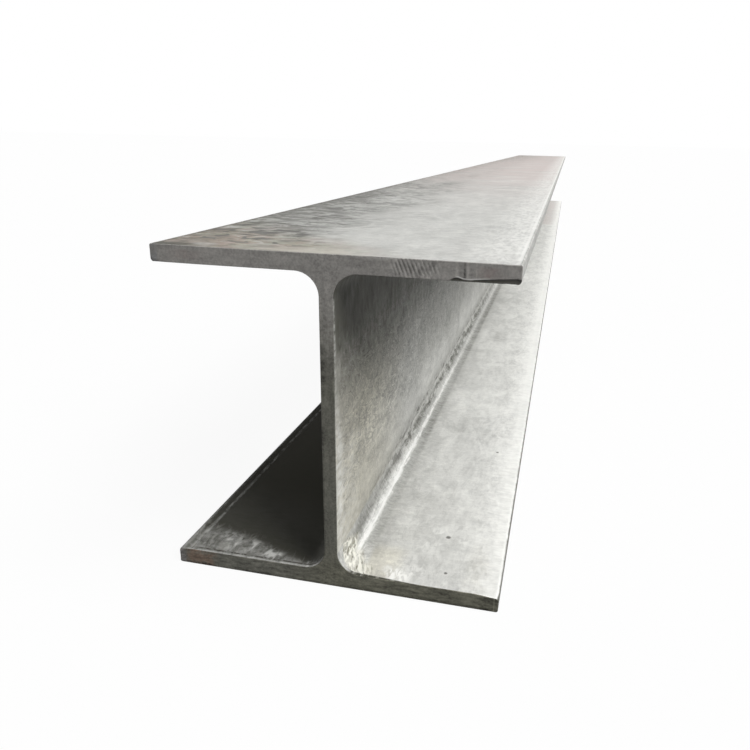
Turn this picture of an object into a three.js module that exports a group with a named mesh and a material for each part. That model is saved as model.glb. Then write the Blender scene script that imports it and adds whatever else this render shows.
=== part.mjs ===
// Hot-rolled wide-flange steel beam with parallel flanges, sawn to length from one bar.
//
// Millimetres, +Z up. X runs across the flanges and Y along the beam. The origin lies on the
// ground the beam rests on, at mid length and straight below the middle of the web.

import * as THREE from "three";

// The rolled section
const DEPTH = 300;              // outside of one flange to the outside of the other
const FLANGE_WIDTH = 300;
const FLANGE_THICKNESS = 15;
const WEB_THICKNESS = 12;
const ROOT_RADIUS = 20;         // hollow, where a flange runs into the web
const INNER_TOE_RADIUS = 3;     // round, on the flange edge that faces the other flange
const OUTER_TOE_RADIUS = 2;     // round, on the flange edge that faces away from it

// The stock length
const LENGTH = 4200;
const END_ARRIS = 1;            // edge broken at 45 degrees all round each sawn end

// Fineness of the facets: each quarter circle is cut into twice this many chords
const ARC_FINENESS = 8;

// The section with its corners still sharp, as [x, z, radius of the rounding] for each corner,
// anticlockwise seen from the near end: up the +X side, then down the -X side.
function sharpSection() {
  const toe = FLANGE_WIDTH / 2;
  const webFace = WEB_THICKNESS / 2;
  const lowerInside = FLANGE_THICKNESS;
  const upperInside = DEPTH - FLANGE_THICKNESS;
  const rightSide = [
    [toe, 0, OUTER_TOE_RADIUS],
    [toe, lowerInside, INNER_TOE_RADIUS],
    [webFace, lowerInside, ROOT_RADIUS],
    [webFace, upperInside, ROOT_RADIUS],
    [toe, upperInside, INNER_TOE_RADIUS],
    [toe, DEPTH, OUTER_TOE_RADIUS],
  ];
  const leftSide = rightSide.map(([x, z, radius]) => [-x, z, radius]).reverse();
  return [...rightSide, ...leftSide];
}

// Replaces each sharp corner by the quarter circle that is tangent to both of its sides. A corner
// that turns left is a toe and gets a round; one that turns right is a root and gets a hollow.
function roundedOutline(corners) {
  const outline = new THREE.Shape();
  const points = corners.map(([x, z]) => new THREE.Vector2(x, z));
  corners.forEach(([, , radius], i) => {
    const corner = points[i];
    const before = points.at(i - 1);
    const after = points[(i + 1) % points.length];
    const heading = corner.clone().sub(before).normalize();
    const leaving = after.clone().sub(corner).normalize();
    const centre = corner.clone().addScaledVector(heading, -radius).addScaledVector(leaving, radius);
    const startAngle = leaving.clone().negate().angle();
    const endAngle = heading.angle();
    const isHollow = heading.cross(leaving) < 0;
    outline.absarc(centre.x, centre.y, radius, startAngle, endAngle, isHollow);
  });
  return outline;
}

// The bar is the outline swept along the beam. Its last stretch at each end draws in by the
// arris, so that the outermost faces are the flat sawn ones.
function beam() {
  const geometry = new THREE.ExtrudeGeometry(roundedOutline(sharpSection()), {
    depth: LENGTH - 2 * END_ARRIS,
    curveSegments: ARC_FINENESS,
    bevelEnabled: true,
    bevelSegments: 1,
    bevelThickness: END_ARRIS,
    bevelSize: END_ARRIS,
    bevelOffset: -END_ARRIS,
  });
  const rolledSteel = new THREE.MeshStandardMaterial({
    color: 0xa3a29d,
    roughness: 0.6,
    metalness: 0.75,
  });
  const mesh = new THREE.Mesh(geometry, rolledSteel);
  mesh.name = "i_beam";
  mesh.rotation.x = Math.PI / 2;
  mesh.position.y = LENGTH / 2 - END_ARRIS;
  return mesh;
}

const part = new THREE.Group();
part.add(beam());

export default part;
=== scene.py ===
"""Looks of a rolled steel beam: its mill surface, its sawn ends, the studio and the camera.

Metres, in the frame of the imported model: X across the flanges, Y along the beam, Z up. Profiles
and lists give places in millimetres instead, Y from the near end and Z from the underside.
"""

import math
from functools import cached_property
from types import SimpleNamespace

import bpy
import numpy as np
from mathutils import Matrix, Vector
from mathutils.geometry import delaunay_2d_cdt

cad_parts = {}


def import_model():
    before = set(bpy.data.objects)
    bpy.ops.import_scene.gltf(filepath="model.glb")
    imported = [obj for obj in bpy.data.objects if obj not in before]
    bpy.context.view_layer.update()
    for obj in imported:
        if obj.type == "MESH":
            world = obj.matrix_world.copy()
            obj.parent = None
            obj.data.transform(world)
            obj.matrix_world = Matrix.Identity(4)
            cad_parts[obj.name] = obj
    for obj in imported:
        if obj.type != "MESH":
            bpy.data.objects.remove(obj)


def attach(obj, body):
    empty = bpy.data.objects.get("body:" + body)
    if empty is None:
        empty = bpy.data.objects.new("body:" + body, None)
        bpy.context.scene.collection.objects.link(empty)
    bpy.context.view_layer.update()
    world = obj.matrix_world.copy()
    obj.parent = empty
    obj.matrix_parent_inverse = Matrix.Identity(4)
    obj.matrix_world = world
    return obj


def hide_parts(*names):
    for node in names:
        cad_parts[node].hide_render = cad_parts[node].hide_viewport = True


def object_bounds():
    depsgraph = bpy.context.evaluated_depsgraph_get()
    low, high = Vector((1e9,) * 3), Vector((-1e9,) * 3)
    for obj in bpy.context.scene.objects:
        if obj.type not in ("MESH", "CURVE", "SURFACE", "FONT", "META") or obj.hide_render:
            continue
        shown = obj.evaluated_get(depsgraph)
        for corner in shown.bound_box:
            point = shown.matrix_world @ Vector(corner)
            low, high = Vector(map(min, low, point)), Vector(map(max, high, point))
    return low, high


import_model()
cad_low, cad_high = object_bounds()

MM = 0.001

# The section, as in the part's own source
ROOT_RADIUS = 20 * MM
FLANGE_THICKNESS = 15 * MM
WEB_X = 6 * MM  # half the web's thickness
INNER_TOE_RADIUS = 3 * MM
OUTER_TOE_RADIUS = 2 * MM
END_ARRIS = 0.5 * MM  # finer than the 1 mm that the source breaks it by

# Overall sizes come from the frame
TOE_X = cad_high.x
UNDERSIDE_Z = cad_low.z
TOP_Z = cad_high.z
NEAR_Y = cad_low.y
FAR_Y = cad_high.y

LOW_INSIDE_Z = UNDERSIDE_Z + FLANGE_THICKNESS
HIGH_INSIDE_Z = TOP_Z - FLANGE_THICKNESS

# In millimetres from the near end and from the underside
LENGTH = (FAR_Y - NEAR_Y) / MM
MIDDLE = (TOP_Z - UNDERSIDE_Z) / 2 / MM
HIGH_INSIDE = (HIGH_INSIDE_Z - UNDERSIDE_Z) / MM

# Spacing of the mesh across each face and along the beam
SEEN_STEP = 4 * MM
HIDDEN_STEP = 12 * MM
FINE_STEP = 1 * MM  # beside the toes
FINE_REACH = 14 * MM
ROOT_FACETS = 18
TOE_FACETS = 4
END_STEP = 1.5 * MM
MIDDLE_STEP = 32 * MM
STEP_GROWTH = 1.065
CAP_STEP = 2.8 * MM
CAP_SCATTER = 0.22  # how far a cap's points are moved, as a share of their spacing
CAP_MARGIN = 1.4 * MM
MARK_MARGIN = 1.5 * MM  # how far the saw marks' own points stay off the flange's faces
MERGE_DISTANCE = 1e-7
SHARP_DEG = 40

SEED = 7

# Relief of the mill surface, measured inwards from the nominal section
SLOW_WAVE = 0.08 * MM  # the rolled faces' long, shallow unevenness
FAST_WAVE = 0.05 * MM  # hammered-looking unevenness a few centimetres across
GRAIN = 0.025 * MM  # what is left where scale came off
CREASE_INSET = 11 * MM  # line that the edging rolls leave beside each toe
CREASE_DEPTH = 0.12 * MM  # of the line, and of the strip between it and the toe
CREASE_WIDTH = 1.6 * MM
CREASE_WANDER = 0.6 * MM
ROOT_DENT = 0.22 * MM  # small laps and dents low on the root fillets
NICK = 0.4 * MM  # worn spots on the arris of the sawn ends
TOP_DROP = 0.2 * MM  # how much lower the top lies than its left edge near the near end
LEFT_RISE = 0.1 * MM  # how far that edge stands above the rolled faces' own level
LUMP = 0.45 * MM  # rough steel at the near end of the lower right root
CORNER_WEAR = 1.8 * MM  # rounding of the near right corner of the lower flange

# The sawn ends
SAW_LEAN_DEG = 22
SAW_PITCH = 2.95 * MM
SAW_CREST = 166.5 * MM  # one crest, measured across the marks
SAW_DEPTH = 0.3 * MM
SAW_FROM = 48 * MM
SAW_TO = 96 * MM
FINE_PITCH = 1.7 * MM  # of the faint marks all over
FINE_DEPTH = 0.02 * MM
TEAR_FROM = 96 * MM  # where the lower edge of the top flange was torn, not cut
TEAR_DEPTH = 0.7 * MM
TEAR_STEP = 1.6 * MM
TEAR_RIM = ((96, 0.9), (102, 2.6), (109, 1.2), (112, 1.4), (148, 4.4))  # x, how high it reaches

# Millimetres from the near end where the lower flange turns pinker, past a bright line across it
PINK_FROM = 2790

# Light
FLOOR_BOUNCE = 0.1  # how much the floor throws back on the beam
FLOOR_GLOW = 0.94  # how much of the floor's white doesn't depend on the lamps
FLOOR_SHADED = 0.9  # the floor's colour where it does
FLOOR_SIZE = 400
FLOOR_GAP = 0.5 * MM
WORLD_FILL = 0.04
# Name, direction towards the light, strength, softness in degrees, whether the steel mirrors it
SUNS = [
    ("high", (0.5, 0.0, 0.866), 2.0, 30, True),
    ("right", (0.663, -0.383, 0.643), 1.6, 25, True),
    ("front", (0.0, -0.94, 0.342), 0.15, 40, True),
    ("behind", (-0.8, 0.6, 0.02), 0.55, 20, False),
]

# The camera, solved from the beam's edges in the photo
CAMERA_PLACE = (0.1755, -2.5844, 0.3839)
CAMERA_TURN_DEG = (71.792, -1.217, 12.629)
CAMERA_LENS_MM = 32.172
CAMERA_SENSOR_MM = 36
CAMERA_SHIFT = (-0.0504, -0.0201)


def smooth(low, high, value):
    """0 below low, 1 above high, and smooth between."""
    t = np.clip((value - low) / (high - low), 0, 1)
    return t * t * (3 - 2 * t)


def profile(value, *points):
    """Straight runs between points of (value, result)."""
    return np.interp(value, *zip(*points))


# -------- the section


def shares(length, step, finer):
    """Where the samples of a straight run lie, without its end: close together beside a toe."""
    fine = np.arange(FINE_STEP, FINE_REACH, FINE_STEP)
    head = [0.0, *fine] if "start" in finer else [0.0]
    tail = [*(length - fine)[::-1]] if "end" in finer else [length]
    count = max(1, math.ceil((tail[0] - head[-1]) / step))
    middle = np.linspace(head[-1], tail[0], count + 1)[1:-1]
    marks = [*head, *middle, *tail]
    return np.array(marks if "end" in finer else marks[:-1]) / length


def section():
    """The rolled section, from the left end of the underside once round.

    Anticlockwise seen from the near end: each point's place, outward normal and face, and how
    far round the outline each one is, with the whole way round as the last.
    """
    seen, hidden = SEEN_STEP, HIDDEN_STEP
    outer, inner, root = OUTER_TOE_RADIUS, INNER_TOE_RADIUS, ROOT_RADIUS
    # Each straight face, its spacing, where that is finer, the corner that it runs to, and the name
    # and radius of the rounding there
    runs = [
        ("underside", hidden, "", (TOE_X, UNDERSIDE_Z), "toe", outer),
        ("toe", seen, "", (TOE_X, LOW_INSIDE_Z), "toe", inner),
        ("low_right", seen, "start", (WEB_X, LOW_INSIDE_Z), "root_low_right", root),
        ("web_right", seen, "", (WEB_X, HIGH_INSIDE_Z), "root_high_right", root),
        ("high_right", hidden, "end", (TOE_X, HIGH_INSIDE_Z), "toe", inner),
        ("toe", seen, "", (TOE_X, TOP_Z), "toe", outer),
        ("top", seen, "start end", (-TOE_X, TOP_Z), "toe", outer),
        ("toe", seen, "", (-TOE_X, HIGH_INSIDE_Z), "toe", inner),
        ("high_left", hidden, "", (-WEB_X, HIGH_INSIDE_Z), "root_high_left", root),
        ("web_left", hidden, "", (-WEB_X, LOW_INSIDE_Z), "root_low_left", root),
        ("low_left", seen, "end", (-TOE_X, LOW_INSIDE_Z), "toe", inner),
        ("toe", seen, "", (-TOE_X, UNDERSIDE_Z), "toe", outer),
    ]
    corners = np.array([run[3] for run in runs])
    headings = corners - np.roll(corners, 1, axis=0)
    headings /= np.linalg.norm(headings, axis=1)[:, None]
    places, normals, faces = [], [], []
    for i, (face, step, fine, _, rounding, radius) in enumerate(runs):
        heading, leaving = headings[i], headings[(i + 1) % len(runs)]
        start = corners[i - 1] + heading * runs[i - 1][-1]
        length = np.linalg.norm(corners[i] - heading * radius - start)
        for share in shares(length, step, fine):
            places.append(start + heading * length * share)
            normals.append((heading[1], -heading[0]))
            faces.append(face)
        hollow = heading[0] * leaving[1] < heading[1] * leaving[0]
        facets = ROOT_FACETS if hollow else TOE_FACETS
        centre = corners[i] + (leaving - heading) * radius
        for turn in np.arange(facets) / facets * math.pi / 2:
            ray = heading * math.sin(turn) - leaving * math.cos(turn)
            places.append(centre + radius * ray)
            normals.append(-ray if hollow else ray)
            faces.append(rounding)
    places = np.array(places)
    hops = np.linalg.norm(np.roll(places, -1, axis=0) - places, axis=1)
    return places, np.array(normals), np.array(faces), np.concatenate([[0], np.cumsum(hops)])


class Surface:
    """Every point of the nominal rolled surface, and what the relief and the finishes go by.

    In millimetres: x from the middle, y from the near end and z from the underside. The web is
    its right side, and the floor is the lower flange's upper side right of it.
    """

    def __init__(self, places, faces, around, along):
        rows = len(along)
        self.perimeter = around[-1] / MM
        self.around = np.tile(around[:-1] / MM, (rows, 1))
        self.face = np.tile(faces, (rows, 1))
        self.x = np.tile(places[:, 0] / MM, (rows, 1))
        self.z = np.tile((places[:, 1] - UNDERSIDE_Z) / MM, (rows, 1))
        self.y = np.tile((along[:, None] - NEAR_Y) / MM, (1, len(places)))
        self.from_end = np.minimum(self.y, LENGTH - self.y)
        self.inset = TOE_X / MM - np.abs(self.x)
        self.share = self.root_share()
        self.root = self.share >= 0
        self.right, self.low = self.x > 0, self.z < MIDDLE
        self.top, self.toe = self.on("top"), self.on("toe")
        self.web, self.floor = self.on("web_right"), self.on("low_right")
        self.low_left = self.on("low_left")
        self.right_of_web = self.web | (self.root & self.right)
        self.left_of_web = self.on("web_left", "high_left") | (self.root & ~self.right & ~self.low)
        self.right_root = self.root & self.right & self.low
        self.left_root = self.root & ~self.right & self.low
        self.left_floor = self.low_left | self.left_root

    def on(self, *faces):
        return np.isin(self.face, faces)

    def root_share(self):
        """How far round its fillet a point lies: 0 at the flange, 1 at the web, -1 elsewhere."""
        across = (WEB_X + ROOT_RADIUS) / MM - np.abs(self.x)
        up = np.abs(self.z - MIDDLE) - (HIGH_INSIDE - ROOT_RADIUS / MM - MIDDLE)
        share = np.clip(np.arctan2(across, up) / (math.pi / 2), 0, 1)
        return np.where(np.char.startswith(self.face, "root"), share, -1)

    def by_x(self, *points):
        return profile(self.x, *points)

    def by_y(self, *points):
        return profile(self.y, *points)

    def by_z(self, *points):
        return profile(self.z, *points)

    def by_inset(self, *points):
        return profile(self.inset, *points)

    def by_share(self, *points):
        return profile(self.share, *points)

    def noise(self, rng, cell_around, cell_along, around=None):
        """Smooth noise of -1 to 1 on the unrolled surface, closed round the section."""
        columns = max(3, round(self.perimeter / cell_around))
        rows = math.ceil(LENGTH / cell_along) + 3
        values = rng.uniform(-1, 1, (rows, columns))
        u = (self.around if around is None else around) / self.perimeter * columns
        v = self.y / cell_along + 0.5
        i, j = np.floor(u).astype(int), np.floor(v).astype(int)
        fu, fv = smooth(0, 1, u - i), smooth(0, 1, v - j)
        i, i_next = i % columns, (i + 1) % columns
        j = np.clip(j, 0, rows - 2)
        below = values[j, i] * (1 - fu) + values[j, i_next] * fu
        above = values[j + 1, i] * (1 - fu) + values[j + 1, i_next] * fu
        return below * (1 - fv) + above * fv


# -------- relief


def relief(s):
    """How far each point of the rolled surface lies inside the nominal section."""
    rng = np.random.default_rng(SEED)
    slow = s.noise(rng, 160, 260)
    fast = s.noise(rng, 34, 42)
    grain = s.noise(rng, 7, 8)
    flange_inside = s.on("low_right", "low_left", "high_right", "high_left")
    held_in = s.on("underside", "top", "toe") + flange_inside * smooth(50, 5, s.inset)
    depth = SLOW_WAVE * (held_in + slow) + FAST_WAVE * (held_in + fast) + GRAIN * (held_in + grain)
    depth *= np.where(s.on("underside", "toe"), 0.3, 1)
    turned_up = smooth(1500, 500, s.y) * smooth(-85, -135, s.x)
    depth += s.top * (TOP_DROP - (TOP_DROP + LEFT_RISE) * turned_up)
    depth = np.maximum(depth, 0)

    wander = s.noise(rng, 1000, 90, around=s.inset)
    off_line = (s.inset * MM + wander * CREASE_WANDER - CREASE_INSET) / CREASE_WIDTH
    crease = CREASE_DEPTH * (np.exp(-(off_line**2)) + smooth(1, -1, off_line))
    depth += (flange_inside | s.top) * np.where(s.floor, 0.35, 1) * crease

    dents = s.noise(rng, 3.5, 9)
    webward = smooth(0.48, 0.7, s.share) * smooth(1, 0.85, s.share)
    webward *= s.by_y((60, 0.3), (300, 1))
    depth += ROOT_DENT * webward * smooth(-0.1, 0.7, dents)
    lumps = s.noise(rng, 3.5, 8)
    return depth + LUMP * specked_corner(s) * smooth(-0.6, 0.6, lumps)


def specked_corner(s):
    """The rough, rust-specked place at the near end of the lower right root."""
    reach = s.by_share((-1, 18), (0, 22), (0.2, 36), (0.4, 36), (0.62, 52), (0.9, 32), (1, 16))
    start = s.by_share((0.2, 0), (0.5, 4), (0.75, 10), (1, 17))
    inside = s.floor * smooth(38, 30, s.x) + s.root * smooth(0.99, 0.9, s.share)
    inside *= smooth(start, start + 4, s.y) * (s.right & s.low)
    return inside * smooth(1.15, 0.75, s.y / reach)


def end_wear(s):
    """How far the arris of the two sawn ends draws the surface in, nicks and all."""
    rng = np.random.default_rng(SEED + 2)
    uneven = s.noise(rng, 9, 5000)
    spots = s.noise(rng, 23, 5000)
    height = END_ARRIS * (0.8 + 0.2 * uneven) + NICK * smooth(0.45, 0.9, spots)
    height *= 0.05 + 0.95 * smooth(1, 4, s.z)
    rounded = s.by_x((131, 0), (137, 0.3), (146, 0.85), (150, 1)) * (s.z < 16)
    rounded *= smooth(12, 14.5, s.z) * s.by_y((0, 1), (8, 0))
    return height * np.clip(1 - s.from_end * MM / END_ARRIS, 0, 1) + CORNER_WEAR * rounded


# -------- where each finish and painted shade shows


def zones(s):
    """Where each finish, painted shade and painted highlight shows, as named shares of 0 to 1."""
    rng = np.random.default_rng(SEED + 3)
    drift = s.noise(rng, 60, 80)
    edge = profile(
        np.abs(s.x), (30, 8), (50, 16), (70, 23), (90, 28), (110, 32), (130, 37), (150, 45)
    )
    past_band = s.y - edge - 9 * drift
    near_part = s.by_y((350, 1), (900, 0))
    pale = s.by_x((-75, 0), (-60, 0.6), (5, 0.6), (25, 0)) * s.by_y((0, 1), (16, 1), (32, 0))
    return {
        **root_line_zones(s),
        **film_zones(s, drift, pale),
        **texture_zones(s),
        # mostly painted shade: on the roots, the web, the left floor, the toes and the hidden faces
        "scale": np.clip(root_shade(s) + face_scale_and_shade(s, past_band, near_part), 0, 1),
        "wear_and_highlight": np.clip(wear_and_highlight_share(s), 0, 1),
        "cream": np.clip(cream_share(s, pale), 0, 1),
        "specked": specked_corner(s),
        "left_specked": s.left_floor * smooth(12, -6, past_band),
        "wisps": wisp_share(s, past_band),
        # painted shade in the left channel, past the lit band at its near end
        "deep": s.left_floor * smooth(20, 130, past_band) * near_part,
    }


def root_line_zones(s):
    """The bright line the rolls drew on the lower right root, also painted highlight, and dents
    beside it.
    """
    burnish_and_highlight = s.by_y(
        (4, 0), (12, 0.3), (22, 0.7), (34, 1), (180, 1), (250, 0.72), (310, 0.52), (500, 0.52),
        (620, 0.28), (800, 0.1), (1500, 0),
    )
    dented_from = s.by_y((200, 0.54), (350, 0.45))
    dented = s.right_root * smooth(dented_from, dented_from + 0.1, s.share)
    dented += s.web * smooth(48, 38, s.z)
    strength = s.by_y((40, 0), (70, 0.3), (150, 0.45), (260, 0.8), (800, 0.8), (1300, 0.3))
    return {
        "fillet": np.where(s.right_root, s.share, np.where(s.right_of_web, 1, 0)),
        "burnish_and_highlight": s.right_root * burnish_and_highlight,
        "dented": dented * strength,
    }


def root_shade(s):
    """Painted shade on both sides of the bright line, at the foot of the web and on the floor
    beside it.
    """
    # Painted shade: on the flange side of the line, on its web side, and across the middle
    hollow = smooth(0.4, 0.15, s.share) * s.by_y(
        (30, 0), (60, 0.28), (250, 0.3), (350, 0.4), (500, 0.28), (600, 0.36), (1000, 0.46)
    )
    web_side_shade = smooth(0.5, 0.72, s.share + s.by_y((20, 0.12), (80, 0))) * s.by_y(
        (0, 0.05), (14, 0.1), (34, 0.4), (100, 0.46), (200, 0.38), (900, 0.3)
    )
    past_web_side_shade = s.by_y((80, 0.4), (110, 0.15), (170, 0.25), (300, 0.5))
    web_side_shade *= 1 - smooth(0.76, 0.88, s.share) * past_web_side_shade
    middle_shade = s.by_y(
        (20, 0), (32, 0.26), (60, 0.24), (90, 0.14), (130, 0.1), (200, 0.12), (270, 0.15),
        (290, 0.42), (420, 0.44), (500, 0.26), (600, 0.48), (900, 0.45), (1200, 0.25),
    ) * s.by_share(
        (0.2, 0.25), (0.3, 0.45), (0.4, 0.65), (0.47, 1.15), (0.62, 1.2), (0.72, 0.8),
        (0.8, 0.25), (0.9, 0),
    )
    web_foot_shade = s.by_z((35, 0.38), (46, 0.24), (54, 0.1), (80, 0.08), (95, 0))
    web_foot_shade *= s.by_y((0, 0.2), (40, 0.5), (100, 1))
    floor_foot_shade = s.by_x((26, 0.22), (32, 0.16), (42, 0.06), (75, 0.05), (110, 0))
    floor_foot_shade *= smooth(20, 60, s.y)
    root = s.right_root * (hollow + web_side_shade + middle_shade)
    return root + s.web * web_foot_shade + s.floor * floor_foot_shade


def face_scale_and_shade(s, past_band, near_part):
    """Painted shade on the web, the left floor, the toes and hidden faces; darker spots on top and
    far floor.
    """
    # Painted shade on the web, darker towards the top flange, and on the upper right root under it
    film = s.by_y((0, 0.9), (8, 1), (400, 0.9), (1600, 0.6)) * s.by_z(
        (120, 0), (160, 0.22), (185, 0.42), (200, 0.57), (220, 0.86), (235, 0.97), (245, 1)
    )
    far = 0.29 * smooth(70, 110, s.z) * smooth(150, 400, s.y)
    web = s.web * np.maximum(film, far) + 0.97 * (s.root & ~s.low & s.right)

    # Painted shade on the left floor past the lit band at its near end; darker along its crease
    left = s.left_floor * (0.5 + 0.5 * smooth(-14, 6, past_band))
    left *= 0.4 + 0.6 * near_part
    crease = s.low_left * s.by_inset((3.5, 0), (5.5, 0.3), (8, 0.3), (10, 0))
    left += crease * s.by_y((5, 0), (12, 0.5), (30, 1), (60, 1), (100, 0))
    # Faint painted shade on the left of the web and on the faces that look down
    unseen = s.left_of_web | s.on("underside", "high_right")

    # Painted shade on the toes' roundings that look down and on their side faces
    above_bottom = np.where(s.low, s.z, s.z - HIGH_INSIDE)
    side = np.where(s.low, 0.84 * (1 - inner_arc(s)), 0.3)
    toe = 0.8 * smooth(3.5, 1.5, above_bottom) + np.where(s.right, side, 0.5)

    top = s.by_x((-150, 0.46), (-120, 0.33), (-90, 0.2), (-50, 0.17), (0, 0.05), (40, 0))
    top *= s.by_y((0, 1.5), (20, 1.2), (140, 1.1), (900, 0.85))
    top += s.by_x((-150, 0), (-110, 0.15), (150, 0.05)) * smooth(2000, 4000, s.y)
    left_edge = s.by_y((250, 0), (350, 1), (700, 1), (1000, 0))
    top += s.by_x((-150, 0.14), (-135, 0.12), (-120, 0)) * left_edge
    top += s.by_x((-150, 0.34), (-147, 0.26), (-142, 0)) * smooth(2400, 400, s.y)
    left_corner = s.by_y((0, 1), (9, 1), (16, 0))
    top += s.by_x((-150, 0.5), (-122, 0.4), (-108, 0)) * left_corner
    return web + left + 0.25 * unseen + s.toe * toe + s.top * top + 0.13 * far_floor(s)


def inner_arc(s):
    """The rounding between the lower flange's right edge and its upper side."""
    return s.toe * s.right * s.low * smooth(13.4, 14.9, s.z)


def far_floor(s):
    """The lower flange right of the web, past the bright line across it."""
    return s.floor * smooth(PINK_FROM, PINK_FROM + 30, s.y)


def wear_and_highlight_share(s):
    """How much each place was rubbed or ground bright, with painted highlight and light where
    noted.
    """
    top = s.by_inset(
        (0, 1), (4, 1), (5.5, 0.5), (7, 0.7), (10, 0.45), (22, 0.45), (30, 0.3), (55, 0)
    )
    top *= s.by_y((0, 0.3), (25, 0.9))
    # The floor's bright band along its right toe: wear, and painted light
    spread = s.by_y((0, 0.95), (60, 1.05), (110, 1))
    floor = profile(
        s.inset * spread, (0, 0.8), (4, 0.85), (9, 0.72), (14, 0.5), (24, 0.28), (40, 0)
    )
    wear_and_highlight = (s.top * top + s.floor * floor) * s.right
    band = s.by_z((40, 28), (110, 28), (150, 20), (190, 10), (230, 5), (262, 3))
    rubbed = s.by_z((60, 0.25), (90, 0.38), (120, 0.42), (180, 0.16), (200, 0.15), (240, 0.3))
    wear_and_highlight += s.web * smooth(1, 0.3, s.from_end / band) * rubbed
    foot = s.by_z((40, 0.14), (80, 0.18), (120, 0.15), (160, 0.05), (180, 0))
    foot *= s.by_y((2, 0), (12, 1), (45, 1), (80, 0.3), (200, 0))
    wear_and_highlight += s.web * foot
    crease = s.by_inset((0, 0.5), (3.5, 0.35), (6, 0), (9, 0), (10.5, 0.6), (12, 0.6), (14, 0))
    crease *= s.by_y((0, 0.3), (30, 0.4), (60, 0.5), (200, 0.5), (500, 0.15))
    wear_and_highlight += s.low_left * crease
    # Painted highlight on the lower right toe's inner rounding; the top flange's right toe a little
    # lighter
    wear_and_highlight += s.toe * s.right * np.where(s.low, 0.95 * inner_arc(s), 0.2)
    # Painted light, growing towards the floor's right toe
    light_towards_toe = s.by_x((50, 0), (150, 0.44)) * s.by_y((0, 0.6), (120, 0.9), (200, 1))
    bright_line = 0.5 * smooth(12, 4, np.abs(s.y - PINK_FROM))
    wear_and_highlight += s.floor * (light_towards_toe + bright_line)
    # Painted highlight along the near end of the lower left root
    return wear_and_highlight + s.left_root * s.by_y((0, 0.7), (4, 0.6), (8, 0.2), (11, 0))


def film_zones(s, drift, pale):
    """The films of rust and scale on the top, and the pink bloom."""
    reach = s.by_x((-150, 260), (-60, 130), (0, 80), (60, 30)) * (1 + 0.3 * drift)
    stain = smooth(1, 0.3, s.y / reach) * smooth(90, -60, s.x)
    patch = smooth(20, -80, s.x + 25 * drift) * smooth(0, 50, s.y)
    patch *= smooth(1400, 400, s.y + 200 * drift)
    bloom = s.top * smooth(200, 1600, s.y) + 0.7 * far_floor(s)
    return {"stain": s.top * stain * (1 - pale), "patch": s.top * patch, "bloom": bloom}


def cream_share(s, pale):
    """Where the steel looks cream: low on the near part of the web and at the sawn end."""
    web = s.by_z((40, 0.8), (150, 0.9), (230, 0.3)) * smooth(300, 40, s.y)
    left = smooth(66, 48, s.x) * smooth(58, 40, s.y)
    right = smooth(110, 130, s.x) * smooth(90, 40, s.y)
    floor = s.floor * 0.55 * (left + 0.6 * right)
    return s.web * web + s.top * pale + floor


def wisp_share(s, past_band):
    """The light wisps along the sawn end of the left floor."""
    wisps = profile(past_band, (-30, 0.1), (-20, 0.6), (-12, 1), (-6, 1), (2, 0))
    return s.low_left * wisps * profile(np.abs(s.x), (45, 0.4), (55, 1), (112, 1), (124, 0.25))


def texture_zones(s):
    """Where the surface looks wrinkled, and how strongly its grain shows."""
    web_wrinkles = s.by_z((40, 0.15), (70, 0.45), (110, 0.85), (190, 1), (240, 0.4))
    web_wrinkles *= s.by_y((8, 0.2), (25, 1), (350, 0.9), (1200, 0.3))
    curls = s.by_x((26, 0.25), (60, 0.25), (95, 0.2), (140, 0.1))
    curls *= s.by_y((0, 1), (40, 0.7), (220, 0.7), (500, 0.3), (1500, 0))
    grainy = s.by_x((30, 0.6), (55, 0.5), (70, 0.3), (105, 0.3), (125, 0.75))
    grainy *= s.by_y((0, 1), (500, 0.5), (1200, 0.25))
    rough = np.where(s.right_of_web | s.left_floor | s.left_of_web, 1, 0.45)
    rough = np.where(s.web, s.by_z((40, 0.55), (120, 0.75), (180, 1)), rough)
    sides = np.where(s.right_of_web, 1, np.where(s.top, 0.37, 0.6))
    sides = np.where(s.web, s.by_z((40, 0.6), (120, 0.95)), sides)
    return {
        "wrinkled": s.web * web_wrinkles + s.floor * curls,
        "grainy": s.floor * grainy,
        "rough": np.where(s.floor, 0.26, rough),
        "sides": np.where(s.floor, 0.75, sides),
        "ragged": np.where(s.floor, 0.6, 1),
    }


# -------- the mesh


def stations():
    """Places along the beam where the section is repeated: close at both ends, wide between."""
    half = (FAR_Y - NEAR_Y) / 2 - END_ARRIS
    offsets = [0]
    step = END_STEP
    while offsets[-1] + step < half:
        offsets.append(offsets[-1] + step)
        step = min(step * STEP_GROWTH, MIDDLE_STEP)
    offsets = np.array(offsets) * half / offsets[-1]
    near = NEAR_Y + END_ARRIS + offsets
    far = FAR_Y - END_ARRIS - offsets[::-1]
    return np.concatenate([[NEAR_Y], near, far[1:], [FAR_Y]])


def tear_height(x):
    """Height of the upper rim of the torn strip along the top flange's lower edge."""
    return HIGH_INSIDE_Z + profile(x / MM, *TEAR_RIM) * MM


def saw_depth(x, z):
    """How deep the saw went past the end face at each point, by its own marks."""
    lean = math.radians(SAW_LEAN_DEG)
    across = x * math.cos(lean) + z * math.sin(lean) - SAW_CREST
    coarse = 0.5 - 0.5 * np.cos(2 * math.pi * across / SAW_PITCH)
    fine = 0.5 + 0.5 * np.sin(2 * math.pi * (z + 0.15 * x) / FINE_PITCH)
    strong = smooth(SAW_FROM, 58 * MM, x) * smooth(SAW_TO, 80 * MM, x)
    below_rim = smooth(0.25 * MM, -0.25 * MM, z - tear_height(x))
    torn = below_rim * smooth(TEAR_FROM, TEAR_FROM + 3 * MM, x)
    on_top_flange = smooth(270 * MM, HIGH_INSIDE_Z, z)
    marks = SAW_DEPTH * coarse * strong + TEAR_DEPTH * torn
    return marks * on_top_flange + FINE_DEPTH * fine


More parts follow.
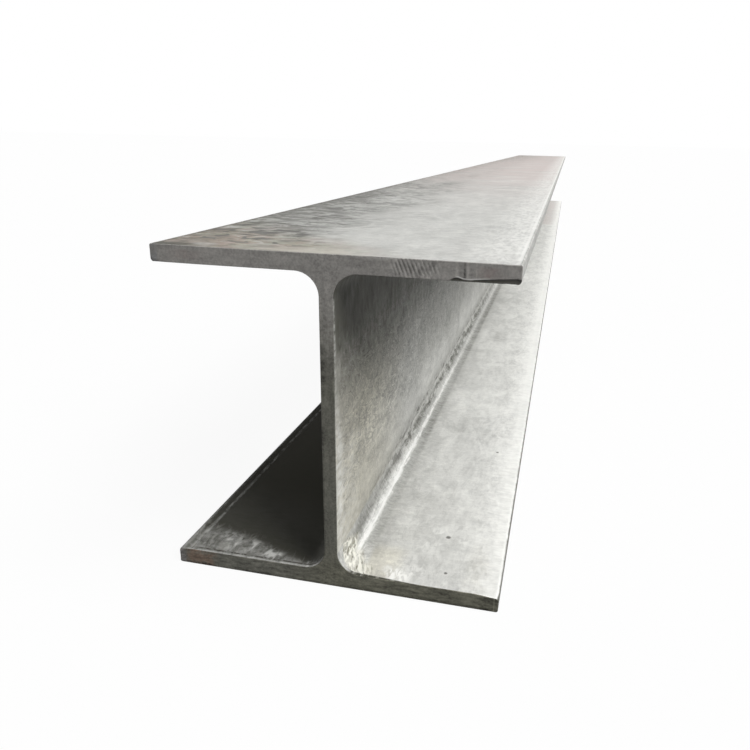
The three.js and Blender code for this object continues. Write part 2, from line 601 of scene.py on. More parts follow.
def marked_zone():
    """Extra points along the strong saw marks and the torn strip, so that the mesh carries them."""
    lean = math.radians(SAW_LEAN_DEG)
    points = []
    for k in SAW_CREST + np.arange(-32, 50) * SAW_PITCH / 4:
        for t in np.arange(-0.1, 0.4, 3 * MM):
            x = k * math.cos(lean) - t * math.sin(lean)
            z = k * math.sin(lean) + t * math.cos(lean)
            inside = MARK_MARGIN < TOP_Z - z < FLANGE_THICKNESS - MARK_MARGIN
            if inside and SAW_FROM < x < SAW_TO:
                points.append((x, z))
    for x in np.arange(TEAR_FROM, TOE_X - TEAR_STEP, TEAR_STEP):
        rim = tear_height(x)
        for z in (rim - 0.3 * MM, rim + 0.3 * MM):
            if z > HIGH_INSIDE_Z + 1.45 * MM:
                points.append((x, z))
    return points


def inside_section(x, z, margin):
    """Whether a point lies inside the section by at least the margin."""
    from_face = min(z - UNDERSIDE_Z, TOP_Z - z)
    in_flange = from_face < FLANGE_THICKNESS - margin and abs(x) < TOE_X - margin
    in_web = abs(x) < WEB_X - margin
    across = ROOT_RADIUS + WEB_X - abs(x)
    up = FLANGE_THICKNESS + ROOT_RADIUS - from_face
    in_root = across > 0 and up > 0 and math.hypot(across, up) > ROOT_RADIUS + margin
    return from_face > margin and (in_flange or in_web or in_root)


def cap_points():
    """Points inside the outline of a sawn end, scattered but where the strong marks have theirs."""
    rng = np.random.default_rng(SEED + 1)
    points = []
    for row_z in np.arange(UNDERSIDE_Z, TOP_Z, CAP_STEP):
        for row_x in np.arange(-TOE_X, TOE_X, CAP_STEP):
            moved = rng.uniform(-CAP_SCATTER, CAP_SCATTER, 2) * CAP_STEP
            x, z = np.array([row_x, row_z]) + moved
            torn = x > SAW_TO and z < tear_height(x) + 1.2 * MM
            marked = TOP_Z - z < FLANGE_THICKNESS and (SAW_FROM < x < SAW_TO or torn)
            if not marked and inside_section(x, z, CAP_MARGIN):
                points.append((x, z))
    return points + marked_zone()


def cap(outline, inner, first_outer, first_inner):
    """Triangles over one sawn end, with its points' numbers in the whole mesh."""
    count = len(outline)
    points = [Vector(p) for p in [*outline, *inner]]
    edges = [(i, (i + 1) % count) for i in range(count)]
    made = delaunay_2d_cdt(points, edges, [], 1, MERGE_DISTANCE)
    origins = [came_from[0] for came_from in made[3]]
    number = [first_outer + i if i < count else first_inner + i - count for i in origins]
    return [[number[i] for i in face] for face in made[2]]


def beam_mesh():
    """The rolled shell and its two sawn ends, with the zones of finish and painted light as
    attributes.
    """
    places, normals, faces, around = section()
    along = stations()
    rows, ring = len(along), len(places)
    s = Surface(places, faces, around, along)
    depth = relief(s) + end_wear(s)
    depth = np.where(s.toe, np.minimum(depth, 0.8 * OUTER_TOE_RADIUS), depth)
    x = places[:, 0] - normals[:, 0] * depth
    z = places[:, 1] - normals[:, 1] * depth
    y = np.tile(along[:, None], (1, ring))
    shell = np.stack([x, y, z], axis=2).reshape(-1, 3)

    this = np.arange(ring)
    following = (this + 1) % ring
    row = np.arange(rows - 1)[:, None] * ring
    corners = [row + this, row + ring + this, row + ring + following, row + following]
    quads = np.stack(corners, axis=2).reshape(-1, 4).tolist()

    inner = np.array(cap_points())
    saw = saw_depth(inner[:, 0], inner[:, 1])
    vertices, caps = shell, []
    for end, end_y, inwards in ((0, NEAR_Y, 1), (rows - 1, FAR_Y, -1)):
        outline = np.stack([x[end], z[end]], axis=1)
        triangles = cap(outline, inner, end * ring, len(vertices))
        caps += [face[::inwards] for face in triangles]
        sawn_points = np.stack([inner[:, 0], end_y + inwards * saw, inner[:, 1]], axis=1)
        vertices = np.concatenate([vertices, sawn_points])

    mesh = bpy.data.meshes.new("beam")
    mesh.from_pydata(vertices.tolist(), [], quads + caps)
    mesh.polygons.foreach_set("use_smooth", [True] * len(mesh.polygons))
    mesh.set_sharp_from_angle(angle=math.radians(SHARP_DEG))
    sawn = [1] * ring + [0] * (len(quads) - 2 * ring) + [1] * (ring + len(caps))
    mesh.polygons.foreach_set("material_index", sawn)
    on_caps = np.zeros(2 * len(inner))
    for name, values in zones(s).items():
        layer = mesh.attributes.new(name, "FLOAT", "POINT")
        layer.data.foreach_set("value", np.concatenate([values.ravel(), on_caps]))
    return mesh


# -------- colours and marks

LIGHT_STEEL = (0.635, 0.635, 0.608)  # clean mill surface
MID_STEEL = (0.575, 0.575, 0.549)
DARK_SCALE_AND_SHADE = (0.073, 0.072, 0.057)  # thick mill scale, and painted shade in the scale zone and beside the bright line
DASH_SCALE = (0.15, 0.148, 0.138)  # the darkest flecks of it
BLUE_SCALE = (0.27, 0.27, 0.255)  # patches where bluish scale stayed on
TAN = (0.375, 0.325, 0.262)  # thin brown film of rust
OLIVE = (0.40, 0.395, 0.31)
ROSE = (0.42, 0.335, 0.295)
PINK = (0.60, 0.535, 0.51)  # the first bloom of rust
CREAM = (0.60, 0.575, 0.485)
WEAR_AND_HIGHLIGHT = (0.93, 0.93, 0.895)  # rubbed bright, and painted highlight in the wear zone
BURNISH_AND_HIGHLIGHT = (0.90, 0.90, 0.87)  # drawn bright by the rolls, and painted highlight along the root
WARM_SPECK = (0.89, 0.88, 0.80)
OLIVE_DARK = (0.19, 0.18, 0.13)
WISP = (0.47, 0.46, 0.42)  # light wisps on the left of the lower flange
LEFT_CHANNEL_SHADE = (0.068, 0.066, 0.050)  # painted shade on the floor of the left channel
PIT = (0.07, 0.065, 0.055)

SAWN_LIGHT = (0.40, 0.385, 0.365)
SAWN_DARK = (0.194, 0.192, 0.164)
SAWN_RUST = (0.235, 0.175, 0.135)
SAWN_OLIVE = (0.20, 0.195, 0.145)
SAWN_BLUE = (0.34, 0.345, 0.35)
SAWN_PINK = (0.33, 0.235, 0.22)
# painted shade in the torn strip under the top flange's end
TORN_SHADE = (0.062, 0.062, 0.052)

SPECULAR = 0.1
DEEP_ROUGHNESS = 0.7
SAWN_METALLIC = 0.1
GRAIN_BUMP = 0.3 * MM
BLOTCH_BUMP = 0.5 * MM
SAWN_BUMP = 0.25 * MM
STROKES_LEAN_DEG = 18

# The bright line is burnish and painted highlight, and the third is painted shade beside it
# The bright line: middle and half width as shares of the way round the fillet, strength
LINE_CORE = (0.34, 0.125, 1.4)
LINE_HALO = (0.42, 0.22, 0.95)
LINE_SHADE = (0.5, 0.16, 1)

# On the floor right of the web: x, y, radius, strength
PITS = [(92.9, 79.5, 2.8, 0.8), (100.1, 22.6, 1.8, 0.8), (120.4, 281, 1.9, 0.8)]
SMUDGE = (73.6, 805.5, 42, 1)
LIGHT_STAINS = [
    (60, 8, 12, 1), (72, 20, 10, 0.5), (50, 16, 8, 0.6), (66, 36, 10, 0.25), (80, 60, 13, 0.3),
    (82, 88, 7, 0.4), (109, 75, 6, 0.4),
]
# How much duller or lighter it is there
FLOOR_SHADES = [
    (108, 69, 16, -0.14), (121, 14, 12, -0.03), (104, 200, 36, -0.12), (82, 9, 12, -0.13),
    (83, 330, 34, -0.07), (115, 350, 60, -0.08), (51, 181, 16, -0.04), (88, 809, 40, -0.05),
    (112, 1200, 150, -0.06), (50, 28, 15, 0.14), (38, 27, 12, 0.07), (46, 92, 18, 0.09),
    (138, 42, 14, 0.06), (82, 44, 10, 0.06), (102, 4, 10, 0.08), (63, 128, 26, 0.1),
    (103, 132, 20, 0.09), (75, 195, 14, 0.08), (27, 216, 26, 0.05), (87, 270, 24, 0.08),
    (72, 451, 60, 0.1), (41, 642, 60, 0.05), (56, 776, 70, 0.07), (52, 1392, 200, 0.07),
]
# The same on the right side of the web: height, y, radius, how much lighter
# The darker places high on the web near the near end are painted shade under the top flange
WEB_SHADES = [
    (145, 100, 30, 0.17), (84, 19, 18, 0.14), (212, 10, 18, 0.2), (240, 8, 12, 0.22),
    (119, 49, 16, 0.07), (170, 60, 26, 0.05), (192, 128, 30, 0.07), (207, 318, 60, 0.17),
    (84, 414, 60, 0.1), (110, 614, 90, -0.05), (50, 1040, 100, -0.04), (126, 255, 38, -0.08),
    (92, 232, 34, -0.08), (89, 149, 24, -0.07), (58, 81, 18, -0.07), (253, 50, 30, -0.14),
    (276, 35, 24, -0.15), (267, 115, 34, -0.12), (258, 206, 40, -0.06),
]
# Dark, light and reddish places in the films on the top: x, y, radius, strength
TOP_SHADES = [
    (-84, 275, 34, 0.5), (-135, 330, 50, 0.5), (-100, 330, 30, 0.4), (-64, 108, 22, 0.45),
    (-92, 130, 24, 0.45), (-120, 150, 26, 0.45), (-96, 530, 60, 0.35), (-140, 560, 90, 0.35),
    (-118, 54, 12, 0.6), (-135, 230, 30, 0.4), (-45, 190, 20, 0.4), (-95, 85, 26, 0.35),
    (-60, 50, 22, 0.35), (-125, 235, 34, 0.3), (-74, 92, 26, 0.85), (-75, 232, 28, 0.95),
    (-92, 110, 20, 0.6), (-92, 178, 26, 0.3), (-133, 465, 60, 0.8), (-147, 90, 26, 0.35),
    (-5, 736, 90, 0.1), (22, 303, 40, 0.1), (-138, 110, 18, 0.35), (28, 272, 46, 0.1),
    (5, 279, 60, 0.08), (33, 48, 26, 0.08), (11, 902, 120, 0.1), (117, 195, 40, 0.28),
]
TOP_LIGHTS = [
    (-107, 10, 12, 0.6), (-40, 195, 20, 0.4), (-140, 120, 14, 0.35), (-101, 351, 26, 0.5),
    (-70, 380, 36, 0.35), (-70, 500, 48, 0.75), (-91, 690, 60, 0.4), (-32, 92, 16, 0.45),
    (-21, 55, 16, 0.4), (-26, 138, 26, 0.6), (-15, 90, 16, 0.4), (-67, 560, 50, 0.6),
    (-50, 472, 44, 0.5), (76, 105, 36, 0.2),
]
TOP_ROSE = [(-113, 40, 34, 0.7), (-92, 80, 30, 0.4), (-40, 20, 18, 0.4)]
# On the near end: x, height, radius, how much lighter or darker
END_SHADES = [
    (-6.5, 222, 7, -0.6), (-6.5, 210, 7, -0.6), (-6.5, 197, 6, -0.5), (-6.5, 186, 5, -0.3),
    (-4, 178, 6, 0.15), (-5.5, 150, 6, -0.35), (-5.5, 142, 5, -0.3), (2, 250, 13, 0.1),
    (2, 228, 16, 0.2), (20, 292, 30, -0.09), (-10, 286, 12, -0.05), (3, 120, 10, 0.15),
    (-5, 100, 5, 0.2), (-2, 70, 10, -0.1),
]
# Upright lines on the near end: x, half width, how much lighter or darker
SCRIBED = [
    (102.2, 2, 0.38), (105.3, 1.2, -0.12), (108.1, 1.5, -0.62), (110.4, 1.8, 0.34),
    (113.6, 1.6, -0.12), (116.9, 1.1, 0.22), (95.5, 4, 0.1),
]


# Points on the beam's faces, from the lists' measures


def on_floor(x, y):
    return (x * MM, NEAR_Y + y * MM, LOW_INSIDE_Z)


def on_top(x, y):
    return (x * MM, NEAR_Y + y * MM, TOP_Z)


def on_web(height, y):
    return (WEB_X, NEAR_Y + y * MM, UNDERSIDE_Z + height * MM)


def on_end(x, height):
    return (x * MM, NEAR_Y, UNDERSIDE_Z + height * MM)


# -------- nodes


def calculation(operation, swapped=False):
    """A method of Value that makes the node for one calculation."""

    def method(self, other=0):
        both = (other, self) if swapped else (self, other)
        return self.nodes.calculate(operation, *both)

    return method


class Value:
    """What a node gives. It adds, subtracts and multiplies like any number."""

    def __init__(self, nodes, socket):
        self.nodes = nodes
        self.socket = socket

    __add__ = __radd__ = calculation("ADD")
    __sub__ = calculation("SUBTRACT")
    __rsub__ = calculation("SUBTRACT", swapped=True)
    __mul__ = __rmul__ = calculation("MULTIPLY")
    __abs__ = calculation("ABSOLUTE")
    at_least = calculation("MAXIMUM")
    at_most = calculation("MINIMUM")

    def between(self, low, high, start=0, end=1, way="SMOOTHSTEP"):
        """The way from low to high, smooth and clamped, as start to end."""
        inputs = {0: self, 1: low, 2: high, 3: start, 4: end}
        return self.nodes.made("MapRange", 0, inputs, interpolation_type=way)

    def swing(self, amount, spread=0.2):
        """A noise's way from dark to light, as a shade of minus to plus the amount."""
        return self.between(0.5 - spread, 0.5 + spread, -amount, amount)

    def line(self, middle, half_width, strength=1):
        """The strength at the middle, falling to 0 on both sides."""
        return abs(self - middle).between(half_width, 0, 0, strength)


class Nodes:
    """Short names for the nodes that a material or the world is made of."""

    def __init__(self, owner):
        owner.use_nodes = True
        self.owner = owner
        self.tree = owner.node_tree
        self.tree.nodes.clear()

    @cached_property
    def places(self):
        return self.made("TexCoord", "Object")

    def add(self, kind, inputs, **settings):
        """A new node, its inputs given by their names or numbers."""
        node = self.tree.nodes.new("ShaderNode" + kind)
        for name, setting in settings.items():
            setattr(node, name, setting)
        for name, value in inputs.items():
            socket = node.inputs[name]
            if isinstance(value, Value):
                self.tree.links.new(value.socket, socket)
            else:
                socket.default_value = (*value, 1) if socket.type == "RGBA" else value
        return node

    def made(self, kind, output, inputs={}, **settings):
        """One output of a new node."""
        return Value(self, self.add(kind, inputs, **settings).outputs[output])

    def zone(self, name):
        """Where a finish shows, from the mesh."""
        return self.made("Attribute", "Fac", attribute_name=name)

    def stretched(self, *scale):
        return self.made("Mapping", 0, {"Vector": self.places, "Scale": scale})

    def noise(self, size, detail=2, roughness=0.5, distortion=0, places=None):
        """Noise of about 0 to 1 whose blotches are about size millimetres across."""
        inputs = {"Vector": places or self.places, "Scale": 1 / (size * MM), "Detail": detail}
        inputs = {**inputs, "Roughness": roughness, "Distortion": distortion}
        return self.made("TexNoise", "Fac", inputs)

    def calculate(self, operation, a, b=0):
        return self.made("Math", 0, {0: a, 1: b}, operation=operation)

    def blend_value(self, share, a, b):
        return self.made("Mix", 0, {0: share, 2: a, 3: b})

    def blend(self, share, a, b):
        """Colour a where the share is 0 and b where it is 1."""
        return self.made("Mix", 2, {0: share, 6: a, 7: b}, data_type="RGBA")

    def painted(self, colour, *layers):
        """The colour under layers of (share, colour), the last one on top."""
        for share, paint in layers:
            colour = self.blend(share, colour, paint)
        return colour

    def blend_shader(self, share, a, b):
        return self.made("MixShader", 0, {0: share, 1: a, 2: b})

    def tinted(self, colour, factor):
        """The colour made lighter or darker by a factor."""
        inputs = {0: colour, "Scale": factor}
        return self.made("VectorMath", 0, inputs, operation="SCALE")

    def axis(self, letter):
        """Where a point lies along an axis of the frame, in millimetres."""
        return self.made("SeparateXYZ", letter, {0: self.places}) * (1 / MM)

    def near_point(self, point, radius):
        """1 at a point and 0 beyond the radius, with a soft rim."""
        inputs = {0: self.places, 1: point}
        off = self.made("VectorMath", "Value", inputs, operation="DISTANCE")
        return off.between(radius * 1.15, radius * 0.5)

    def marked(self, places, on_face):
        """The strength of each place of (two measures, radius, strength) on a face."""
        return sum(
            self.near_point(on_face(a, b), radius * MM) * strength
            for a, b, radius, strength in places
        )

    def bump(self, height, distance, strength=1, **under):
        inputs = {"Height": height, "Distance": distance, "Strength": strength, **under}
        return self.made("Bump", "Normal", inputs)

    def finish(self, colour, roughness, metallic, normal):
        inputs = {"Base Color": colour, "Roughness": roughness, "Metallic": metallic}
        inputs = {**inputs, "Normal": normal, "Specular IOR Level": SPECULAR}
        surface = self.made("BsdfPrincipled", 0, inputs)
        self.add("OutputMaterial", {"Surface": surface})
        return self.owner


# -------- the rolled steel


def rolled_steel():
    n = Nodes(bpy.data.materials.new("rolled"))
    across = n.stretched(0.5, 1, 0.5)
    along = n.stretched(1, 0.4, 1)
    far_along = n.stretched(1, 0.22, 1)
    # The noises that several finishes share
    g = SimpleNamespace(
        blotch=n.noise(8, 4, 0.62, 0.5, across),
        dash=n.noise(3.6, 3, 0.65, 0.4, across),
        speck=n.noise(1.8, 2, 0.6),
        weather=n.noise(20, 4, 0.63, 0.6, along),
        curl=n.noise(9, 3, 0.55, 1.6, along),
        broken=n.noise(5, 3, 0.62, 0.6, along),
        flake=n.noise(4, 3, 0.7, 0.5, far_along),
        cluster=n.noise(6, 3, 0.65, 0.5, far_along),
    )
    cloud = n.noise(38, 3, 0.55, 0.3, across)
    ripple = g.curl.line(0.54, 0.045, 0.36) + g.curl.line(0.46, 0.045, -0.36)
    ripple *= n.zone("wrinkled")
    # Painted shade on the floor of the left channel
    deep = n.zone("deep")

    colour = n.blend(cloud.between(0.3, 0.7), MID_STEEL, LIGHT_STEEL)
    colour = n.blend(n.zone("cream"), colour, CREAM)
    colour = n.tinted(colour, mottle(n, g) + ripple + 1)
    bloom = n.zone("bloom") * n.noise(120, 3).between(0.25, 0.6, 0.5, 1)
    colour = n.blend(bloom, colour, PINK)
    colour = top_films(n, colour)
    # The scale zone is mostly painted shade
    scale = n.zone("scale")
    scale += scale * (1 - scale) * (g.blotch.swing(0.8, 0.25) + g.weather.swing(0.5))
    # Wear, and painted highlight where its zone stands for light
    wear_and_highlight = n.zone("wear_and_highlight")
    wear_and_highlight += wear_and_highlight * (1 - wear_and_highlight) * g.broken.swing(1.3) * n.zone("ragged")
    wear_and_highlight *= g.weather.between(0.3, 0.6, 0.85, 1.05)
    colour = n.painted(colour, (scale, DARK_SCALE_AND_SHADE), (deep, LEFT_CHANNEL_SHADE), (wear_and_highlight, WEAR_AND_HIGHLIGHT))
    colour = n.tinted(colour, late_shades(n, g) + 1)
    colour = left_wisps(n, g, colour)
    colour, streak = root_line(n, g, colour)
    colour = rough_corner(n, colour)
    colour = floor_marks(n, g, colour)
    colour = n.blend(dark_end_strip(n, g), colour, DARK_SCALE_AND_SHADE)

    roughness = g.blotch.between(0.3, 0.7, 0.5, 0.62) + streak * -0.12
    roughness = n.blend_value(deep, roughness, DEEP_ROUGHNESS)
    metallic = streak * 0.15 + wear_and_highlight * 0.1
    grain = g.dash * 0.6 + g.speck * 0.4
    fine = n.bump(grain, GRAIN_BUMP, n.zone("rough") * 0.35 + 0.15)
    normal = n.bump(g.blotch + ripple, BLOTCH_BUMP, 0.5, Normal=fine)
    return n.finish(colour, roughness, metallic, normal)


def mottle(n, g):
    """How much lighter or darker the clean steel is from place to place."""
    fine = g.blotch.swing(0.13) + g.dash.swing(0.16) + g.speck.swing(0.1)
    shade = fine * n.zone("rough") + g.weather.swing(0.2, 0.18) * n.zone("sides")
    far_streaks = n.noise(70, 4, 0.72, 0.3, n.stretched(0.7, 1, 1))
    shade += far_streaks.between(0.3, 0.7, -0.3, 0.24) * n.zone("bloom")
    return shade + n.marked(FLOOR_SHADES, on_floor)


def late_shades(n, g):
    """The shades that show through scale and wear: the floor's grain and the web's places."""
    lying = n.noise(7, 3, 0.62, 0.3, n.stretched(0.4, 1, 0.4))
    grain = (lying.swing(0.11) + g.dash.swing(0.06)) * n.zone("grainy")
    return grain + n.marked(WEB_SHADES, on_web) * n.axis("X").between(0, 4)


def top_films(n, colour):
    """The films of scale and rust on the left of the top face."""
    patch = n.zone("patch")
    stain = n.zone("stain")
    clumps = n.noise(26, 5, 0.66, 0.8)
    flecks = n.noise(12, 3, 0.6, 0.6, n.stretched(0.6, 1, 1))
    hue = n.noise(28, 3, 0.6, 0.5)
    films = patch * 0.9 + stain * 0.45
    dark = n.marked(TOP_SHADES, on_top) * flecks.between(0.4, 0.6, 0.2, 1)
    light = n.marked(TOP_LIGHTS, on_top) * flecks.between(0.4, 0.6, 1, 0.3)
    film = n.blend(hue.between(0.5, 0.6), TAN, OLIVE)
    film = n.blend(hue.between(0.48, 0.4, 0, 0.8), film, ROSE)
    return n.painted(
        colour,
        (patch * clumps.between(0.43, 0.56, 0.22, 0.95), BLUE_SCALE),
        (stain * clumps.between(0.3, 0.6, 0.68, 1), film),
        (n.marked(TOP_ROSE, on_top) * hue.between(0.4, 0.6, 0.3, 0.8), ROSE),
        (dark + films * flecks.between(0.52, 0.62, 0, 0.72), DASH_SCALE),
        (light + films * flecks.between(0.43, 0.33, 0, 0.55), LIGHT_STEEL),
    )


def left_wisps(n, g, colour):
    """Light wisps, and a light and a dark line along the sawn end, on the lower left flange."""
    place = n.zone("left_specked")
    puffs = n.noise(8, 3, 0.55, 0.5, n.stretched(1, 0.6, 1))
    flecks = g.broken.between(0.5, 0.38, 0.05, 0.42) + g.curl.between(0.47, 0.38, 0.05, 0.35)
    inwards = LENGTH / 2 - abs(n.axis("Y"))
    light = inwards.line(1, 1.6, 0.7) * g.broken.between(0.4, 0.55, 0.2, 1)
    dark = inwards.line(4.4, 1.9) * g.curl.between(0.4, 0.5, 0.2, 1)
    return n.painted(
        colour,
        (place * flecks, DARK_SCALE_AND_SHADE),
        (place * g.curl.between(0.52, 0.62, 0, 0.35), WISP),
        (n.zone("wisps") * puffs.between(0.44, 0.72, 0, 0.8), WEAR_AND_HIGHLIGHT),
        (place * light, LIGHT_STEEL),
        (place * dark * n.axis("X").between(-138, -128), PIT),
    )


def root_line(n, g, colour):
    """The lower right root's bright line, burnish and painted highlight; its share; the dents
    beside it.
    """
    burnish_and_highlight = n.zone("burnish_and_highlight")
    dented = n.zone("dented")
    wobble = n.zone("fillet") + g.flake.between(0.2, 0.8, -0.1, 0.1, way="LINEAR")
    drawn = n.noise(2.2, 2, 0.5, 0.2, n.stretched(1, 0.04, 1))
    dotted = g.broken.between(0.36, 0.5, 0.65, 1) * drawn.between(0.4, 0.52, 0.45, 1)
    halo = wobble.line(*LINE_HALO) * g.flake.between(0.42, 0.6, 0.1, 1)
    halo *= burnish_and_highlight.between(0.5, 1, 0.35, 1)
    streak = (wobble.line(*LINE_CORE) * dotted).at_least(halo) * burnish_and_highlight
    streak = streak.at_most(1)
    # Painted shade on the web side of the bright line
    shade_beside_line = wobble.line(*LINE_SHADE) * g.flake.between(0.47, 0.38, 0, 0.22)
    colour = n.painted(
        colour,
        (shade_beside_line * burnish_and_highlight, DARK_SCALE_AND_SHADE),
        (streak, BURNISH_AND_HIGHLIGHT),
        (dented * g.cluster.between(0.48, 0.4, 0, 0.75), PIT),
        (dented * g.cluster.between(0.56, 0.62, 0, 0.7), LIGHT_STEEL),
    )
    return colour, streak


def rough_corner(n, colour):
    """Cream and rust-dark strokes at the near end of the lower right root."""
    place = n.zone("specked")
    lean = (0, 0, math.radians(STROKES_LEAN_DEG))
    inputs = {"Vector": n.places, "Rotation": lean, "Scale": (1, 4, 1)}
    slanted = n.made("Mapping", 0, inputs, vector_type="TEXTURE")
    strokes = n.noise(2.6, 2, 0.55, 0.5, slanted)
    return n.painted(
        colour,
        (place * 0.5, CREAM),
        (place * strokes.between(0.47, 0.6, 0, 0.9), WARM_SPECK),
        (place * strokes.between(0.45, 0.34, 0, 0.85), OLIVE_DARK),
    )


def floor_marks(n, g, colour):
    """Light stains, pits and a smudge on the lower flange right of the web."""
    ragged = (g.broken + g.curl * 0.6).between(0.68, 0.88, 0.15, 1)
    stains = n.marked(LIGHT_STAINS, on_floor) * ragged
    off = abs(n.axis("X") - SMUDGE[0])
    smudged = n.marked([SMUDGE], on_floor) * off.between(17, 8)
    smudged *= g.dash.between(0.35, 0.6, 0.08, 0.34)
    pitted = n.marked(PITS, on_floor).at_least(smudged)
    return n.painted(colour, (stains, WEAR_AND_HIGHLIGHT), (pitted, PIT))


def dark_end_strip(n, g):
    """The dark strip along the sawn end of the lower flange, right of the web."""
    across = n.axis("X")
    reach = across.between(30, 92, 3.8, -0.6, way="LINEAR")
    inwards = LENGTH / 2 - abs(n.axis("Y"))
    share = (inwards - reach).between(0.6, -0.6)
    place = across.between(14, 19) * n.axis("Z").between(45, 30)
    return share * place * g.broken.between(0.35, 0.5, 0.55, 1)


# -------- the sawn ends


def sawn_steel():
    n = Nodes(bpy.data.materials.new("sawn"))
    across, height = n.axis("X"), n.axis("Z")
    lying = n.noise(5, 3, 0.6, 0.3, n.stretched(0.22, 1, 1))
    standing = n.noise(5, 3, 0.6, 0.3, n.stretched(1, 1, 0.22))
    blotch = n.noise(9, 4, 0.6, 0.5)
    fine = n.noise(1.8, 2, 0.6)
    in_web = abs(across).between(14, 8)
    streaks = n.blend_value(in_web, lying, standing)

    low_left = across.between(-108, -120) * height.between(30, 16)
    low_right = across.between(-60, 10) * height.between(50, 16)
    left_end = across.between(-142.5, -144.5)
    colour = n.painted(
        SAWN_DARK,
        (height.between(190, 290), SAWN_LIGHT),
        (low_left * blotch.between(0.4, 0.6, 0.15, 0.9), SAWN_RUST),
        (low_right * 0.6, SAWN_OLIVE),
        (left_end * blotch.between(0.35, 0.6, 0.2, 0.7), SAWN_BLUE),
    )

    tone = streaks.between(0.3, 0.7, -0.12, 0.13) + blotch.swing(0.07)
    tone += fine.swing(0.13) * (in_web * 0.4 + 1)
    tone += n.marked(END_SHADES, on_end) * standing.between(0.35, 0.6, 0.5, 1)
    tone += low_flange_tone(n, across, height) + web_edge(across, height)
    tone += saw_marks(n, across, height) + scribed_lines(across, height)
    # Painted shade on the arris of the end and along its bottom edge
    arris = (LENGTH / 2 - abs(n.axis("Y"))).between(0.1, 0.4, 0, -0.3)
    bottom_shade = height.between(3.5, 1.5, 0, -0.35)
    colour = n.tinted(colour, tone + arris + bottom_shade + 1)

    pink = across.line(128, 14) + across.line(-119, 22, 0.5)
    pink *= height.between(287, 290) * height.between(297.5, 295)
    pink *= blotch.between(0.35, 0.65, 0.15, 0.5)
    torn, lip = torn_strip(across, height)
    colour = n.painted(colour, (pink, SAWN_PINK), (lip * 0.9, WEAR_AND_HIGHLIGHT), (torn * 0.9, TORN_SHADE))

    normal = n.bump(streaks * 0.6 + fine * 0.4, SAWN_BUMP, 0.8)
    return n.finish(colour, streaks.between(0.3, 0.7, 0.5, 0.65), SAWN_METALLIC, normal)


def low_flange_tone(n, across, height):
    """Uneven lying streaks, and the darker right tip with its bright edge."""
    coarse = n.noise(5, 3, 0.6, 0.5, n.stretched(0.22, 1, 1))
    ragged = n.noise(2.6, 3, 0.7, 0.3, n.stretched(0.3, 1, 1))
    tone = coarse.swing(0.14, 0.15) + ragged.swing(0.22, 0.15)
    tone += across.between(130, 141) * -0.2
    tone += across.line(146.3, 1.1, 0.5)
    return tone * height.between(34, 15)


def web_edge(across, height):
    """The dark line down the left edge of the web's end, beside the lower channel."""
    beside_channel = height.between(28, 38) * height.between(160, 145)
    return across.line(-6.2, 2.6, -0.4) * beside_channel


def saw_marks(n, across, height):
    """The marks that the mesh carries, with painted light and shade along them, and the pecked ones
    beyond.
    """
    lean = math.radians(SAW_LEAN_DEG)
    place = across * math.cos(lean) + height * math.sin(lean)
    wave = n.calculate("COSINE", (place * MM - SAW_CREST) * (2 * math.pi / SAW_PITCH))
    clear = across.between(52, 57, 0.2, 1) * across.between(40, 46)
    clear *= across.between(74, 69)
    pecked = across.between(68, 72) * across.between(92, 86)
    spots = n.noise(2.6, 1, 0.5, 0.3, n.stretched(1.2, 1, 0.6))
    marks = wave * 0.19 * clear + spots.between(0.35, 0.65, -0.15, 0.18) * pecked
    return marks * height.between(284, 286)


def scribed_lines(across, height):
    """Light and dark upright lines on the end of the top flange, towards the right."""
    lines = sum(across.line(*each) for each in SCRIBED)
    lines *= height.between(298, 292.5, 0.4, 1)
    return lines * height.between(286.5, 288.5)


def torn_strip(across, height):
    """The torn strip at the lower right edge, painted dark as shade, and the light lip above it."""
    rim = across.between(112, 148, 286.5, 289.4, way="LINEAR")
    rim += abs(across - 102.3).between(6, 0, -0.3, 1.2)
    above = height - rim
    started = across.between(95.5, 99) * height.between(283, 284)
    torn = above.between(0.4, -0.4) * started
    along_lip = across.between(100, 104) * across.between(132, 118)
    return torn, above.line(0.85, 0.8) * along_lip * started


# -------- the studio


def background_share(n):
    """1 for the rays that see the background as such: the camera's, mirrored and refracted ones."""
    camera, mirrored, refracted = (
        n.made("LightPath", f"Is {kind} Ray")
        for kind in ("Camera", "Glossy", "Transmission")
    )
    return camera.at_least(mirrored).at_least(refracted)


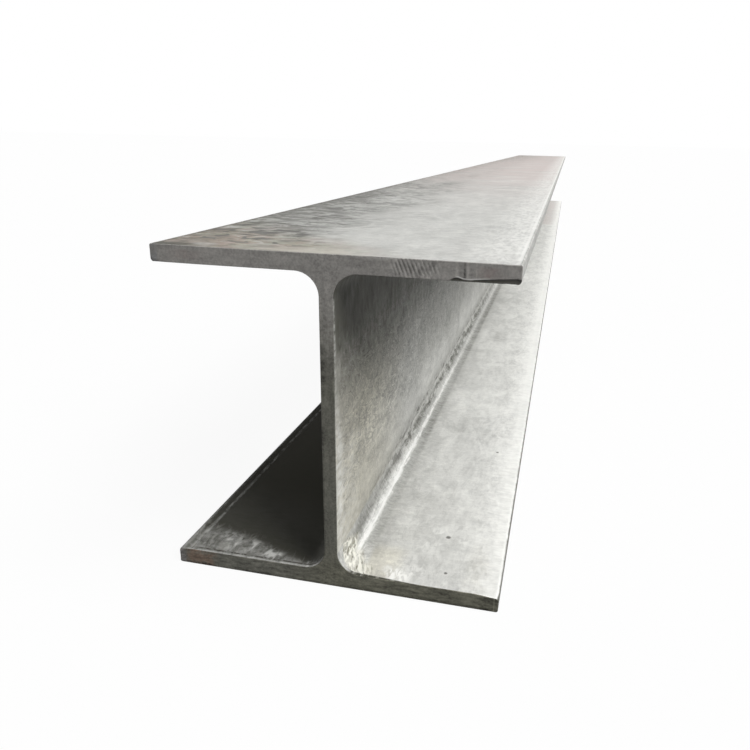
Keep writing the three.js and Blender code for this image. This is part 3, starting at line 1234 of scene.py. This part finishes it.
def studio_floor():
    """A white floor that keeps the beam's shadow and throws little light back on the beam."""
    place = (0, 0, UNDERSIDE_Z - FLOOR_GAP)
    bpy.ops.mesh.primitive_plane_add(size=FLOOR_SIZE, location=place)
    floor = bpy.context.object
    floor.name = "floor"
    n = Nodes(bpy.data.materials.new("floor white"))
    bounce = n.made("BsdfDiffuse", 0, {"Color": [FLOOR_BOUNCE] * 3})
    shaded = n.made("BsdfDiffuse", 0, {"Color": [FLOOR_SHADED] * 3})
    glow = n.made("Emission", 0, {"Color": (1, 1, 1), "Strength": 1})
    white = n.blend_shader(FLOOR_GLOW, shaded, glow)
    surface = n.blend_shader(background_share(n), bounce, white)
    n.add("OutputMaterial", {"Surface": surface})
    floor.data.materials.append(n.owner)


def world():
    """White where it is seen, and a faint fill on the beam."""
    n = Nodes(bpy.data.worlds.new("studio"))
    bpy.context.scene.world = n.owner
    seen = n.made("Background", 0, {"Color": (1, 1, 1), "Strength": 1})
    fill = n.made("Background", 0, {"Color": (1, 1, 1), "Strength": WORLD_FILL})
    surface = n.blend_shader(background_share(n), fill, seen)
    n.add("OutputWorld", {"Surface": surface})


def placed(name, data):
    """A new object in the scene that shows the data."""
    made = bpy.data.objects.new(name, data)
    bpy.context.scene.collection.objects.link(made)
    return made


def sun(name, towards_light, strength, softness_deg, mirrored):
    lamp = bpy.data.lights.new(name, "SUN")
    lamp.energy = strength
    lamp.angle = math.radians(softness_deg)
    made = placed(name, lamp)
    made.rotation_euler = Vector(towards_light).to_track_quat("Z", "Y").to_euler()
    made.visible_glossy = mirrored


def camera():
    data = bpy.data.cameras.new("camera")
    data.sensor_width = CAMERA_SENSOR_MM
    data.lens = CAMERA_LENS_MM
    data.shift_x, data.shift_y = CAMERA_SHIFT
    made = placed("camera", data)
    made.location = CAMERA_PLACE
    made.rotation_euler = [math.radians(a) for a in CAMERA_TURN_DEG]
    bpy.context.scene.camera = made


beam = placed("beam", beam_mesh())
beam.data.materials.append(rolled_steel())
beam.data.materials.append(sawn_steel())
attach(beam, "root")
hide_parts("i_beam")

studio_floor()
world()
for each in SUNS:
    sun(*each)
camera()

bpy.context.scene.view_settings.view_transform = "Standard"
